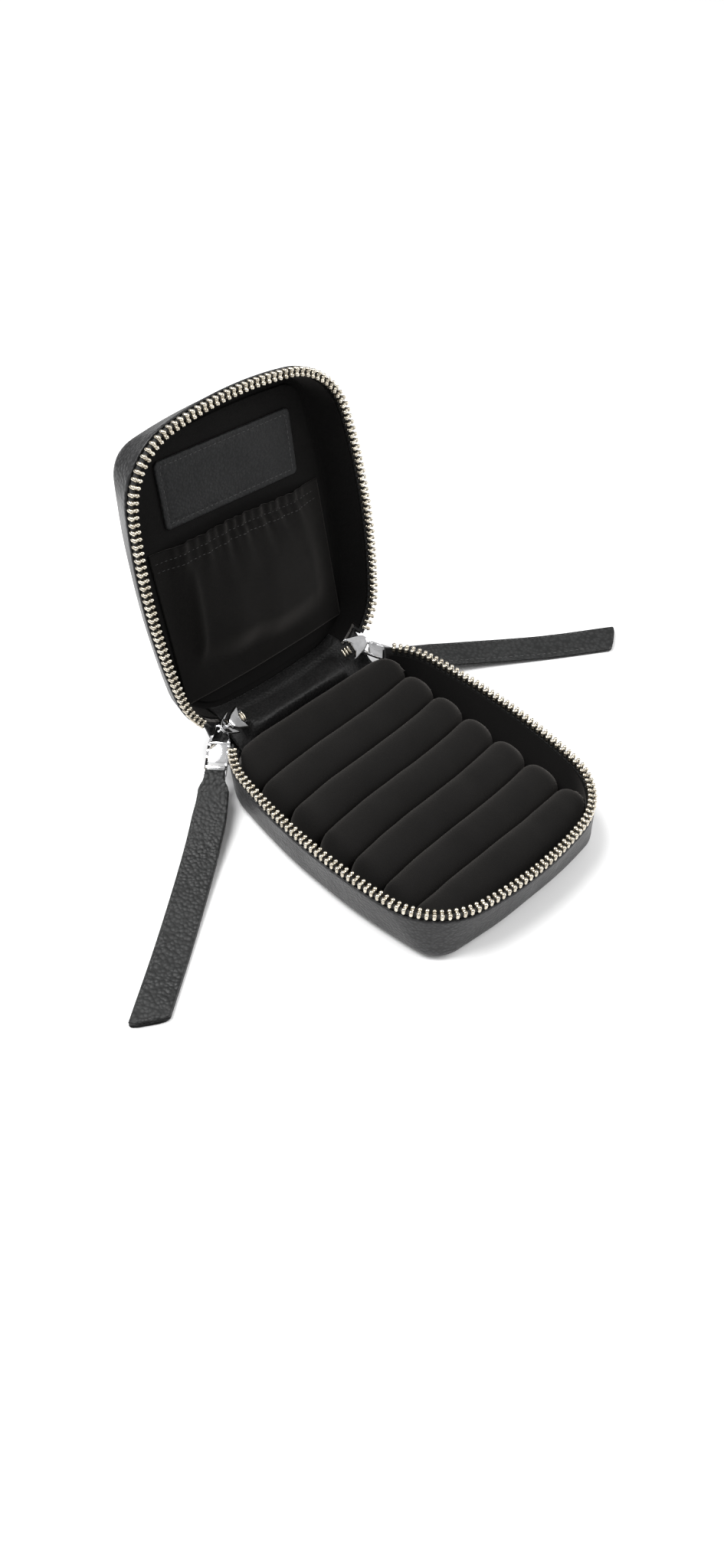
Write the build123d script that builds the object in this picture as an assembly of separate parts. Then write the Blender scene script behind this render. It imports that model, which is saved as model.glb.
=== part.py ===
from build123d import *
import os
from math import asin, atan2, cos, degrees, hypot, pi, radians, sin, sqrt

# A small zip-round jewellery case, standing open.  Millimetres, origin on the table below the
# middle of the case, +Z up, -Y front, +Y the hinge side.  A half is described by the depth below
# its zip line, so one set of functions builds both the base and the lid.

# overall
ZIP_Z = 19.0              # zip line above the table
BASE_DEPTH = 19.0         # zip line to the base's underside
LID_DEPTH = 14.8          # zip line to the lid's top
EDGE_ROUND = 3.3          # rounding where a wall turns into its panel
ROUND_STEPS = 6
SEAM_INSET = 6.5          # seam between wall leather and panel leather, in from the outside
HINGE_Y, HINGE_Z = 45.93, 14.93
OPEN_DEG = 103.7          # lid angle from shut, as it stands

# outline at the zip line, and of each half's panel: half width, half length, shift towards the
# hinge, bow of the sides, bow of the ends, corner radius at the front and at the back
RIM = (40.2, 49.1, 0.0, 6.6, 7.4, 21.7, 21.7)
BASE_PANEL = (38.8, 48.0, 0.5, 6.0, 2.5, 8.0, 19.5)
LID_PANEL = (36.3, 46.6, 1.8, 3.5, 2.0, 7.0, 18.0)
RIM_LIP = 1.2             # leather stands this far outside the zip line at the rim
RIM_BAND = 3.2            # the walls stand straight for this depth below the zip line

# wall layers, measured inwards from the outside face
LEATHER = (0.0, 0.9)
TAPE = (0.95, 1.45)
CORE = (0.95, 1.95)
LINING = (2.0, 2.6)
LEATHER_TOP = 2.9         # depth of each layer's free edge below the zip line
TAPE_TOP, TAPE_END = 1.25, 5.4
CORE_TOP = 5.6
LINING_TOP = 3.1

# soft spine: what the stiff walls leave free behind the hinge
NOTCH_HALF = 31.0
NOTCH_BELOW, NOTCH_ABOVE = 8.2, 10.0
NOTCH_Y = 38.0
SPINE_HALF, SPINE_LINING_HALF = 30.6, 25.2
SPINE_STATIONS = 18
TUCK_FROM, TUCK_OVER = 14.5, 3.5    # the spine drops to pass under the sliders

# crest of each fold from the hinge axis (y, z), mid spine and under the sliders
LEATHER_FOLD = ((1.4, -0.6), (3.8, -9.6))
LINING_FOLD = ((-0.6, 1.6), (2.6, -7.4))

# ring rolls
ROLL_COUNT = 7
ROLL_PITCH = 12.2
ROLL_R = 6.05
ROLL_MID_Y = -0.9
ROLL_LEFT, ROLL_RIGHT = -36.4, 34.6
TRAY_THICK = 0.8
PANEL_IN = 2.3            # flat inner cards stop this far short of the lining's wall
FIT_GAP = 0.05

# zip
TOOTH_PITCH = 2.0
TOOTH_WIDE, TOOTH_LONG, TOOTH_THICK = 2.8, 2.4, 1.2
TEETH_RUN = 119.5         # chain length each way from the middle of the front
SLIDER_X = 25.5
PLATE_T, CHANNEL = 0.9, 3.2
BAIL_MID, BAIL_SPAN, BAIL_RISE, BAIL_BAR = 0.6, 5.8, 1.9, 0.8
EYE_R, EYE_BORE, LINK_T = 2.05, 1.45, 0.7

# pulls
LINK_FOOT = (38.0, 42.6, 9.0)      # strap pin of the right-hand link
LINK_HALF, RAIL = 3.4, 0.9
EYE_NECK, PLATE_FROM, PLATE_TO = 3.6, 0.38, 0.76
STRAP_PIN_R = 0.7
STRAP_WIDE, STRAP_THICK, NECK_WIDE = 11.0, 2.0, 4.5
LOOP_R, LOOP_BORE = 1.75, 0.85
LEFT_PATH = [(-46.5, 35.6, 5.8), (-59.2, 24.7, 2.8), (-80.5, 8.2, 1.1), (-101.0, -6.8, 1.1)]
RIGHT_PATH = [(47.5, 37.6, 5.8), (60.5, 32.0, 2.8), (83.5, 18.6, 1.1), (104.0, 6.2, 1.1)]

# lid furniture, in the lid's shut position
PANEL_T = 0.5
LABEL = (47.5, 19.5, 0.7)
LABEL_AT = (0.9, -24.8, 3.0)        # middle x, y and turn in degrees
LABEL_ROUND = 1.5
POCKET_Y = (-6.8, 37.0)
POCKET_HALF = 31.0
POCKET_SHRINK = 3.5                 # narrower at its closed end
POCKET_T = 0.6
POCKET_BULGE = (6.4, 6.6, 5.0, 1.2)
ELASTIC = (3.0, 0.8)
POCKET_FOOT = 1.2

MIRROR = Plane.YZ
HINGE = Axis((0, HINGE_Y, HINGE_Z), (1, 0, 0))


def corner_centre(a, b, bow_side, bow_end, rc):
    """side radius, end radius and corner centre of a rounded rectangle with bowed edges"""
    r_side = (b * b + bow_side * bow_side) / (2 * bow_side)
    r_end = (a * a + bow_end * bow_end) / (2 * bow_end)
    x1, r1 = a - r_side, r_side - rc
    y2, r2 = b - r_end, r_end - rc
    gap = hypot(x1, y2)
    along = (r1 * r1 - r2 * r2 + gap * gap) / (2 * gap)
    off = sqrt(r1 * r1 - along * along)
    ex, ey = -x1 / gap, y2 / gap
    mx, my = x1 + along * ex, along * ey
    centre = max((mx + off * ey, my - off * ex), (mx - off * ey, my + off * ex), key=sum)
    return r_side, r_end, centre


def arcs(shape, grow):
    """right half of an outline, front to back: (centre x, centre y, radius, start, end angle)"""
    a, b, shift, bow_side, bow_end, rc_front, rc_back = shape
    r_side, r_end, (pf, qf) = corner_centre(a, b, bow_side, bow_end, rc_front)
    pb, qb = corner_centre(a, b, bow_side, bow_end, rc_back)[2]
    x1, y2 = a - r_side, b - r_end
    side_f, side_b = atan2(qf, pf - x1), atan2(qb, pb - x1)
    end_f, end_b = atan2(qf - y2, pf), atan2(qb - y2, pb)
    return [(0, shift - y2, r_end + grow, -pi / 2, -end_f),
            (pf, shift - qf, rc_front + grow, -end_f, -side_f),
            (x1, shift, r_side + grow, -side_f, side_b),
            (pb, shift + qb, rc_back + grow, side_b, end_b),
            (0, shift + y2, r_end + grow, end_b, pi / 2)]


def on_arc(arc, angle):
    cx, cy, r = arc[:3]
    return cx + r * cos(angle), cy + r * sin(angle)


def outline(shape, grow, z):
    """closed face bounded by the eight arcs at height z"""
    right = arcs(shape, grow)
    edges = []
    for arc in right:
        pts = [on_arc(arc, arc[3] + (arc[4] - arc[3]) * k / 2) for k in range(3)]
        if arc is right[0]:
            front = (-pts[2][0], pts[2][1])
            edges.append(ThreePointArc(front + (z,), pts[0] + (z,), pts[2] + (z,)))
        elif arc is right[-1]:
            back = (-pts[0][0], pts[0][1])
            edges.append(ThreePointArc(pts[0] + (z,), pts[2] + (z,), back + (z,)))
        else:
            edges.append(ThreePointArc(*[p + (z,) for p in pts]))
            edges.append(ThreePointArc(*[(-x, y, z) for x, y in reversed(pts)]))
    return make_face(Wire(edges))


def blend(depth, full, panel):
    """outline shape and lip at a depth below the zip line"""
    t = max(0.0, (depth - RIM_BAND) / (full - RIM_BAND))
    return tuple(r + (p - r) * t for r, p in zip(RIM, panel)), RIM_LIP * (1 - t)


class Half:
    """one half of the case; side +1 builds downwards from the zip line, -1 upwards"""

    def __init__(self, side, depth, panel):
        self.side, self.depth, self.panel = side, depth, panel

    def z(self, depth):
        return ZIP_Z - self.side * depth

    def face(self, depth, inset):
        shape, lip = blend(depth, self.depth, self.panel)
        return outline(shape, lip - inset, self.z(depth))

    def plug(self, start, end, inset, round_r=0.0):
        """solid between two depths, its outer face `inset` in from the leather's"""
        levels = [(start, 0.0), (RIM_BAND, 0.0)] if start < RIM_BAND < end else [(start, 0.0)]
        for k in range(ROUND_STEPS + 1 if round_r else 0):
            a = pi / 2 * k / ROUND_STEPS
            levels.append((end - round_r + round_r * sin(a), round_r * (1 - cos(a))))
        if not round_r:
            levels.append((end, 0.0))
        return loft([self.face(depth, inset + back) for depth, back in levels], ruled=True)

    def pan(self, start, layer):
        """open shell from `start` down to the panel, between two insets"""
        outer, inner = layer
        body = self.plug(start, self.depth - outer, outer, EDGE_ROUND - outer)
        return body - self.plug(start - 1, self.depth - inner, inner, EDGE_ROUND - inner)

    def band(self, start, end, layer):
        return self.plug(start, end, layer[0]) - self.plug(start - 1, end + 1, layer[1])

    def seam(self, gap):
        """block that parts the panel leather from the wall leather"""
        shape, lip = blend(self.depth, self.depth, self.panel)
        z0 = self.z(self.depth + 1)
        return extrude(outline(shape, lip - SEAM_INSET - gap, z0), (LEATHER[1] + 1.5) * self.side)

    def notch(self):
        low, high = HINGE_Z - NOTCH_BELOW, HINGE_Z + NOTCH_ABOVE
        return Pos(0, NOTCH_Y + 10, (low + high) / 2) * Box(2 * NOTCH_HALF, 20, high - low)


def rim_point(s):
    """point and outward normal on the zip line, s along it from the middle of the front"""
    side, left = (1, abs(s)) if s >= 0 else (-1, abs(s))
    for cx, cy, r, start, end in arcs(RIM, 0):
        length = r * (end - start)
        if left <= length:
            break
        left -= length
    angle = start + left / r
    return (side * (cx + r * cos(angle)), cy + r * sin(angle)), (side * cos(angle), sin(angle))


def tooth():
    """one zip tooth: legs astride the tape, a two-lobed head with a saddle; head up, tip at z 0"""
    w, h = TOOTH_WIDE / 2, TOOTH_LONG
    slot, depth = 0.3, TAPE_TOP - 0.1
    pts = [(slot, -h), (w * 0.7, -h), (w * 0.8, -h * 0.62), (w, -h * 0.45), (w, -h * 0.22),
           (w * 0.78, -0.06), (w * 0.5, -0.06), (w * 0.26, -0.34), (0, -0.42)]
    right = pts + [(-x, z) for x, z in reversed(pts[:-1])] + [(-slot, -depth), (slot, -depth)]
    sketch = Plane.XZ * make_face(Polyline(*right, close=True))
    return extrude(sketch, TOOTH_THICK / 2, both=True)


def chain(half, shift):
    """teeth of one half along the zip line"""
    one = tooth() if half.side > 0 else mirror(tooth(), about=Plane.XY)
    count = int(TEETH_RUN // TOOTH_PITCH)
    teeth = []
    for k in range(-count, count + 1):
        s = (k + shift) * TOOTH_PITCH
        if abs(s) > TEETH_RUN:
            continue
        (x, y), (nx, ny) = rim_point(s)
        teeth.append(Pos(x, y, ZIP_Z) * Rot(0, 0, degrees(atan2(ny, nx))) * one)
    return Compound(teeth)


def opened(solid, share=1.0):
    """turn a lid piece from shut to the angle it stands at"""
    return solid.rotate(HINGE, -OPEN_DEG * share)


def opened_point(x, y, z, share=1.0):
    a = radians(OPEN_DEG * share)
    dy, dz = y - HINGE_Y, z - HINGE_Z
    return (x, HINGE_Y + dy * cos(a) + dz * sin(a), HINGE_Z - dy * sin(a) + dz * cos(a))


def wall_y(half, depth, inset, x):
    """y of a wall layer's outer face at the back, at a given x"""
    shape, lip = blend(depth, half.depth, half.panel)
    cx, cy, r = arcs(shape, lip - inset)[4][:3]
    px, py, rc = arcs(shape, lip - inset)[3][:3]
    limit = px + rc * cos(arcs(shape, 0)[3][4])
    if abs(x) <= limit:
        return cy + sqrt(r * r - x * x)
    return py + sqrt(rc * rc - (abs(x) - px) ** 2)


def spine_section(x, inset, thick, fold):
    """folded strip between the two walls, in the plane of constant x"""
    low, high = HINGE_Z - NOTCH_BELOW + FIT_GAP, HINGE_Z + NOTCH_ABOVE - FIT_GAP
    by = wall_y(BASE, ZIP_Z - low, inset, x)
    ly = wall_y(LID, high - ZIP_Z, inset, x)
    start, end = (by, low), opened_point(x, ly, high)[1:]
    tuck = max(0.0, min(1.0, (abs(x) - TUCK_FROM) / TUCK_OVER))
    (free_y, free_z), (tuck_y, tuck_z) = fold
    bow = (HINGE_Y + free_y + (tuck_y - free_y) * tuck, HINGE_Z + free_z + (tuck_z - free_z) * tuck)
    line = []
    steps = 8
    rise, run = 6.0 - 4.5 * tuck, 6.5 - 4.0 * tuck
    ctrl = [start, (by, low + rise), bow, bow, opened_point(x, ly, high - run)[1:], end]
    for k in range(steps + 1):
        u = k / steps
        p = list(ctrl)
        while len(p) > 1:
            p = [tuple(a + (b - a) * u for a, b in zip(p0, p1)) for p0, p1 in zip(p, p[1:])]
        line.append(p[0])
    inner = []
    for k, (y, z) in enumerate(line):
        if k == 0:
            ty, tz = 0.0, 1.0
        elif k == steps:
            ty, tz = sin(radians(OPEN_DEG)), cos(radians(OPEN_DEG))
        else:
            ty, tz = line[k + 1][0] - line[k - 1][0], line[k + 1][1] - line[k - 1][1]
        n = hypot(ty, tz)
        inner.append((y - thick * tz / n, z + thick * ty / n))
    return make_face(Polyline(*[(x, y, z) for y, z in line + inner[::-1]], close=True))


def spine(inset, thick, fold, half_w):
    xs = [half_w * (2 * k / SPINE_STATIONS - 1) for k in range(SPINE_STATIONS + 1)]
    return loft([spine_section(x, inset, thick, fold) for x in xs], ruled=True)


BASE = Half(1, BASE_DEPTH, BASE_PANEL)
LID = Half(-1, LID_DEPTH, LID_PANEL)
nodes = {}

# ---- shells of both halves, the lid still shut ----
lid_nodes = {}
for half, name, out, panel_name in ((BASE, "base", nodes, "bottom"),
                                    (LID, "lid", lid_nodes, "top")):
    skin = half.pan(LEATHER_TOP, LEATHER)
    out[name + "_leather_wall"] = skin - half.seam(0) - half.notch()
    out[name + "_leather_" + panel_name] = skin & half.seam(FIT_GAP)
    out[name + "_core_shell"] = half.pan(CORE_TOP, CORE) - half.notch()
    out[name + "_lining"] = half.pan(LINING_TOP, LINING) - half.notch()
    out[name + "_zip_tape"] = half.band(TAPE_TOP, TAPE_END, TAPE) - half.notch()
    out[name + "_zip_teeth"] = chain(half, 0.0 if half is BASE else 0.5)

# ---- ring rolls on their tray ----
floor = BASE_DEPTH - LINING[1]
tray_top = floor - FIT_GAP - TRAY_THICK
nodes["roll_tray"] = BASE.plug(tray_top, floor - FIT_GAP, LINING[1] + PANEL_IN)
room = BASE.plug(1.0, tray_top - FIT_GAP, LINING[1] + 0.4)
roll_z = ZIP_Z - tray_top + FIT_GAP + ROLL_R
for k in range(ROLL_COUNT):
    y = ROLL_MID_Y + ROLL_PITCH * (k - (ROLL_COUNT - 1) / 2)
    length = ROLL_RIGHT - ROLL_LEFT - 2 * ROLL_R
    roll = Pos((ROLL_LEFT + ROLL_RIGHT) / 2, y, roll_z) * Rot(0, 90, 0) * Cylinder(ROLL_R, length)
    for x in (ROLL_LEFT + ROLL_R, ROLL_RIGHT - ROLL_R):
        roll += Pos(x, y, roll_z) * Sphere(ROLL_R)
    nodes["ring_roll_%d" % (ROLL_COUNT - k)] = roll & room

# ---- lid furniture ----
lid_floor = LID_DEPTH - LINING[1] - FIT_GAP
lid_nodes["lid_inner_panel"] = LID.plug(lid_floor - PANEL_T, lid_floor, LINING[1] + PANEL_IN)
face_z = ZIP_Z + lid_floor - PANEL_T - FIT_GAP
label = fillet(Box(*LABEL).edges().filter_by(Axis.Z), LABEL_ROUND)
label = Rot(0, 0, LABEL_AT[2]) * label
lid_nodes["label_patch"] = Pos(LABEL_AT[0], LABEL_AT[1], face_z - LABEL[2] / 2) * label


def pocket_arc(y, bulge, lift, half_w):
    """arched band across the lid, its ends on the inner panel"""
    foot = half_w - POCKET_FOOT
    outer = ThreePointArc((-half_w, y, face_z - lift), (0, y, face_z - bulge - lift),
                          (half_w, y, face_z - lift))
    inner = ThreePointArc((foot, y, face_z), (0, y, face_z - bulge), (-foot, y, face_z))
    ends = [Line(outer @ 1, inner @ 0), Line(inner @ 1, outer @ 0)]
    return make_face(Wire([outer, ends[0], inner, ends[1]]))


def pocket_loft(stations, lift):
    """shell through (y, bulge, half width) stations"""
    return loft([pocket_arc(y, bulge, lift, half_w) for y, bulge, half_w in stations], ruled=True)


last = len(POCKET_BULGE) - 1
reach_y = POCKET_Y[1] - POCKET_Y[0]
lid_nodes["pocket_fabric"] = pocket_loft(
    [(POCKET_Y[0] + reach_y * k / last, bulge, POCKET_HALF - POCKET_SHRINK * (k == last))
     for k, bulge in enumerate(POCKET_BULGE)], POCKET_T)
hem_y = POCKET_Y[0] - FIT_GAP
lid_nodes["pocket_elastic"] = pocket_loft(
    [(y, POCKET_BULGE[0], POCKET_HALF) for y in (hem_y - ELASTIC[0], hem_y)], ELASTIC[1])
for name, solid in lid_nodes.items():
    nodes[name] = opened(solid)

# ---- soft spine ----
nodes["spine_leather"] = spine(LEATHER[0], LEATHER[1], LEATHER_FOLD, SPINE_HALF)
nodes["spine_lining"] = spine(LINING[0], LINING[1] - LINING[0], LINING_FOLD, SPINE_LINING_HALF)

# ---- sliders, chain tails, pulls: built on the right, mirrored to the left ----
corner = arcs(RIM, 0)[3]
turn = asin((SLIDER_X - corner[0]) / corner[2])
slider_y = corner[1] + corner[2] * cos(turn)
seat = Plane(origin=(SLIDER_X, slider_y, ZIP_Z), x_dir=(cos(turn), -sin(turn), 0),
             z_dir=(sin(turn), cos(turn), 0))


def slider():
    """two winged plates, the wedge between them and the bail, on the shut chain"""
    wing = [(3.6, 0.5), (2.4, 1.9), (0.2, 2.9), (-2.9, 3.8), (-2.0, 2.0), (-1.6, 0.6)]
    plan = make_face(Polyline(*(wing + [(x, -y) for x, y in reversed(wing)]), close=True))
    low = -CHANNEL / 2 - PLATE_T
    body = extrude(Pos(0, 0, CHANNEL / 2) * plan, PLATE_T)
    body += extrude(Pos(0, 0, low) * plan, PLATE_T)
    body += Pos(2.1, 0, 0) * Box(1.6, 1.4, CHANNEL + PLATE_T)
    top = CHANNEL / 2 + PLATE_T
    body += Pos(BAIL_MID, 0, top + BAIL_RISE) * Box(BAIL_SPAN, BAIL_BAR, BAIL_BAR)
    for end in (-1, 1):
        foot_x = BAIL_MID + end * (BAIL_SPAN - BAIL_BAR) / 2
        body += Pos(foot_x, 0, top + BAIL_RISE / 2) * Box(BAIL_BAR, BAIL_BAR, BAIL_RISE)
    return body


def tail():
    """short shut chain behind the slider, on its tape, ended by a stop"""
    tape = Pos(-4.6, 0, 0) * Box(5.6, 4.4, TAPE[1] - TAPE[0])
    pieces = [tape]
    for k in range(3):
        tooth_x = -2.9 - k * 1.05
        for face in (1, -1):
            pieces.append(Pos(tooth_x, 0, face * 0.85) * Box(0.75, 3.4, 1.1))
    stop = Pos(-6.6, 0, 0) * Box(1.3, 3.2, 2.4) - tape
    return Compound(pieces + [stop])


def placed(solid):
    return opened(seat.location * solid, 0.5)


bail_height = CHANNEL / 2 + PLATE_T + BAIL_RISE
bail = opened_point(SLIDER_X + cos(turn) * BAIL_MID + sin(turn) * bail_height,
                    slider_y - sin(turn) * BAIL_MID + cos(turn) * bail_height, ZIP_Z, 0.5)
reach = Vector(*LINK_FOOT) - Vector(*bail)
across = Vector(reach.Y, -reach.X, 0).normalized()
link_plane = Plane(origin=bail, x_dir=across, z_dir=across.cross(reach.normalized()))
link_len = reach.length


def link():
    """metal frame: an eye round the bail, a solid plate, a slot and the strap pin"""
    body = Cylinder(EYE_R, LINK_T) - Cylinder(EYE_BORE, LINK_T)
    body += Pos(0, (EYE_R + EYE_NECK) / 2 - 0.15, 0) * Box(1.6, EYE_NECK - EYE_R + 0.3, LINK_T)
    body += Pos(0, EYE_NECK, 0) * Box(2 * LINK_HALF, RAIL, RAIL)
    for side in (-1, 1):
        body += Pos(side * (LINK_HALF - RAIL / 2), (EYE_NECK + link_len) / 2, 0) * \
            Box(RAIL, link_len - EYE_NECK + RAIL, RAIL)
    body += Pos(0, link_len * (PLATE_FROM + PLATE_TO) / 2, 0) * \
        Box(2 * LINK_HALF - RAIL, link_len * (PLATE_TO - PLATE_FROM), LINK_T)
    body += Pos(0, link_len, 0) * Rot(0, 90, 0) * Cylinder(STRAP_PIN_R, 2 * LINK_HALF - RAIL)
    return body


def strap(foot, cross, path):
    """leather strap: a loop round the link's pin, a narrow neck, then full width to a slant end"""
    spline = Spline(foot, *path)
    stations = [0.0, 0.035, 0.09, 0.16, 0.3, 0.5, 0.75, 1.0]
    widths = [NECK_WIDE, NECK_WIDE, STRAP_WIDE * 0.9] + [STRAP_WIDE] * 5
    faces = []
    for u, w in zip(stations, widths):
        t = spline % u
        side = Vector(0, 0, 1).cross(t).normalized()
        plane = Plane(origin=spline @ u, x_dir=side, z_dir=t)
        faces.append(plane * Rectangle(w, STRAP_THICK))
    body = loft(faces, ruled=True)
    pin = Plane(origin=foot, x_dir=(0, 0, 1), z_dir=cross)
    body += pin.location * Cylinder(LOOP_R, NECK_WIDE - 0.4)
    return body - pin.location * Cylinder(LOOP_BORE, STRAP_WIDE)


for name, solid in (("slider", placed(slider())), ("zip_tail", placed(tail())),
                    ("pull_link", link_plane.location * link())):
    nodes[name + "_right"] = solid
    nodes[name + "_left"] = mirror(solid, about=MIRROR)
left_foot = (-LINK_FOOT[0],) + LINK_FOOT[1:]
nodes["pull_strap_right"] = strap(LINK_FOOT, (across.X, across.Y, 0), RIGHT_PATH)
nodes["pull_strap_left"] = strap(left_foot, (-across.X, across.Y, 0), LEFT_PATH)

os.makedirs("parts", exist_ok=True)
for name, solid in nodes.items():
    export_step(solid, "parts/" + name + ".step")
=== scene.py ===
"""Black leather zip-round jewellery case standing open, ring rolls in the base, pocket in the lid."""
import math
import bmesh
import bpy
from mathutils import Matrix, Vector, noise


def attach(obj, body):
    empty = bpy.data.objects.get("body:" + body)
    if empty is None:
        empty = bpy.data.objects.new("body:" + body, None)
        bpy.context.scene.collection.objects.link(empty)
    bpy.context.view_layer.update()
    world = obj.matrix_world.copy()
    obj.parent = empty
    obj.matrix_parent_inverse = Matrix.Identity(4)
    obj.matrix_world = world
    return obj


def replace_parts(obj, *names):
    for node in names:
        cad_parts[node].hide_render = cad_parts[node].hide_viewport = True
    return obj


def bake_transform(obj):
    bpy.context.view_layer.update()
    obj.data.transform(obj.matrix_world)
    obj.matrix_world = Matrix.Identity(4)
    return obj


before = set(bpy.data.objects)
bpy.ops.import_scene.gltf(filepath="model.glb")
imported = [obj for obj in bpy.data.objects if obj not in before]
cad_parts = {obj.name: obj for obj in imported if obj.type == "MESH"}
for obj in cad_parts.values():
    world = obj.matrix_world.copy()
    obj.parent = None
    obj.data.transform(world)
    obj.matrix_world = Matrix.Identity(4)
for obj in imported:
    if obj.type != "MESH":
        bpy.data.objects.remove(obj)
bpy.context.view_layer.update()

MM = 0.001

# driving sizes, in millimetres, as in the part
ZIP_Z, BASE_DEPTH, LID_DEPTH = 19.0, 19.0, 14.8
HINGE_Y, HINGE_Z, OPEN_DEG = 45.93, 14.93, 103.7
# half width, half length, shift to the hinge, side bow, end bow, front and back corner radius
RIM = (40.2, 49.1, 0.0, 6.6, 7.4, 21.7, 21.7)
BASE_PANEL = (38.8, 48.0, 0.5, 6.0, 2.5, 8.0, 19.5)
LID_PANEL = (36.3, 46.6, 1.8, 3.5, 2.0, 7.0, 18.0)
RIM_LIP, RIM_BAND, EDGE_ROUND, SEAM_INSET = 1.2, 3.2, 3.6, 6.5
LINING_IN = 2.6
NOTCH_HALF, NOTCH_BELOW, NOTCH_ABOVE, NOTCH_Y = 31.0, 8.2, 10.0, 38.0
TOOTH_PITCH, TEETH_RUN = 2.0, 119.5
LINK_FOOT = (38.0, 42.6, 9.0)
LEFT_PATH = [(-45.4, 35.6, 5.8), (-59.0, 24.7, 2.8), (-81.0, 8.1, 1.1), (-101.8, -7.1, 1.1)]
RIGHT_PATH = [(46.8, 39.4, 6.2), (60.6, 33.2, 3.0), (83.7, 19.0, 1.1), (104.4, 6.4, 1.1)]
LOOP_COUNT = 288

HINGE = Vector((0, HINGE_Y, HINGE_Z))
TO_OPEN = Matrix.Translation(HINGE) @ Matrix.Rotation(-math.radians(OPEN_DEG), 4, "X") \
    @ Matrix.Translation(-HINGE)


# ---------------------------------------------------------------- materials
def material(name, **sockets):
    """a new material and its shader, with constants set on the shader's sockets"""
    mat = bpy.data.materials.new(name)
    mat.use_nodes = True
    shader = mat.node_tree.nodes["Principled BSDF"]
    for socket, value in sockets.items():
        shader.inputs[socket.replace("_", " ")].default_value = value
    return mat, shader


def add(mat, kind, sockets=None, **settings):
    """a shader node; each socket is given a constant or another node's output"""
    node = mat.node_tree.nodes.new("ShaderNode" + kind)
    for key, value in settings.items():
        setattr(node, key, value)
    for key, value in (sockets or {}).items():
        if isinstance(value, bpy.types.NodeSocket):
            mat.node_tree.links.new(value, node.inputs[key])
        else:
            node.inputs[key].default_value = value
    return node


def coords(mat):
    return add(mat, "TexCoord").outputs["Object"]


def scaled(mat, factor, value):
    return add(mat, "Math", {0: value, 1: factor}, operation="MULTIPLY").outputs[0]


def ramp(mat, value, *stops):
    """colour from a value, through stops given as (position, colour)"""
    node = add(mat, "ValToRGB", {"Fac": value})
    while len(node.color_ramp.elements) < len(stops):
        node.color_ramp.elements.new(0.5)
    for element, (at, colour) in zip(node.color_ramp.elements, stops):
        element.position = at
        element.color = (*colour, 1)
    return node.outputs["Color"]


def finish_with(mat, shader, height, depth, strength=1.0):
    """fine surface relief, depth in metres"""
    bump = add(mat, "Bump", {"Height": height, "Distance": depth, "Strength": strength})
    mat.node_tree.links.new(bump.outputs["Normal"], shader.inputs["Normal"])


def leather(name, dark, light, grain, rough, depth=0.00009, shine=0.3):
    """pebbled grain: rounded cells of uneven size, painted shade darkening the creases between them,
    painted highlight on their tops, a few worn lighter patches
    """
    mat, shader = material(name, Sheen_Weight=0.03, Specular_IOR_Level=shine)
    where = coords(mat)
    wobble = add(mat, "TexNoise", {"Vector": where, "Scale": grain * 0.35, "Detail": 2.0})
    shifted = add(mat, "VectorMath", {0: wobble.outputs["Color"], 1: (0.55 / grain,) * 3},
                  operation="MULTIPLY")
    moved = add(mat, "VectorMath", {0: where, 1: shifted.outputs[0]}, operation="ADD").outputs[0]
    cells = add(mat, "TexVoronoi", {"Vector": moved, "Scale": grain, "Smoothness": 0.35},
                feature="SMOOTH_F1").outputs["Distance"]
    pores = add(mat, "TexNoise", {"Vector": where, "Scale": grain * 5, "Detail": 3.0}).outputs["Fac"]
    patches = add(mat, "TexNoise", {"Vector": where, "Scale": 90.0, "Detail": 4.0}).outputs["Fac"]
    dome = add(mat, "MapRange", {"Value": cells, "From Min": 0.15, "From Max": 0.75, "To Min": 1.0,
                                 "To Max": 0.0}).outputs[0]
    height = add(mat, "Math", {0: scaled(mat, 0.12, pores), 1: dome}, operation="ADD").outputs[0]
    # colour follows the pebble relief: creases painted darker as shade, pebble tops painted lighter as
    # highlight, mixed with random worn lighter patches
    tone = add(mat, "Mix", {"A": dome, "B": patches, "Factor": 0.45},
               data_type="FLOAT").outputs["Result"]
    link = mat.node_tree.links.new
    link(ramp(mat, tone, (0.25, dark), (0.8, light)), shader.inputs["Base Color"])
    roughness = add(mat, "MapRange", {"Value": patches, "From Min": 0.3, "From Max": 0.7,
                                      "To Min": rough - 0.07, "To Max": rough + 0.09})
    link(roughness.outputs[0], shader.inputs["Roughness"])
    finish_with(mat, shader, height, depth)
    return mat


def suede(name, dark, light, sheen=0.3, nap=2600.0):
    """short fibres: fine nap, brushed lighter and darker in soft patches"""
    mat, shader = material(name, Roughness=0.95, Sheen_Weight=sheen, Sheen_Roughness=0.45,
                           Sheen_Tint=(0.75, 0.7, 0.66, 1), Specular_IOR_Level=0.15)
    where = coords(mat)
    brushed = add(mat, "TexNoise", {"Vector": where, "Scale": 75.0, "Detail": 5.0, "Roughness": 0.6})
    fibres = add(mat, "TexNoise", {"Vector": where, "Scale": nap, "Detail": 4.0, "Roughness": 0.7})
    tone = add(mat, "Mix", {"A": brushed.outputs["Fac"], "B": fibres.outputs["Fac"], "Factor": 0.45},
               data_type="FLOAT").outputs["Result"]
    mat.node_tree.links.new(ramp(mat, tone, (0.3, dark), (0.7, light)), shader.inputs["Base Color"])
    finish_with(mat, shader, fibres.outputs["Fac"], 0.00012, 0.7)
    return mat


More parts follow.
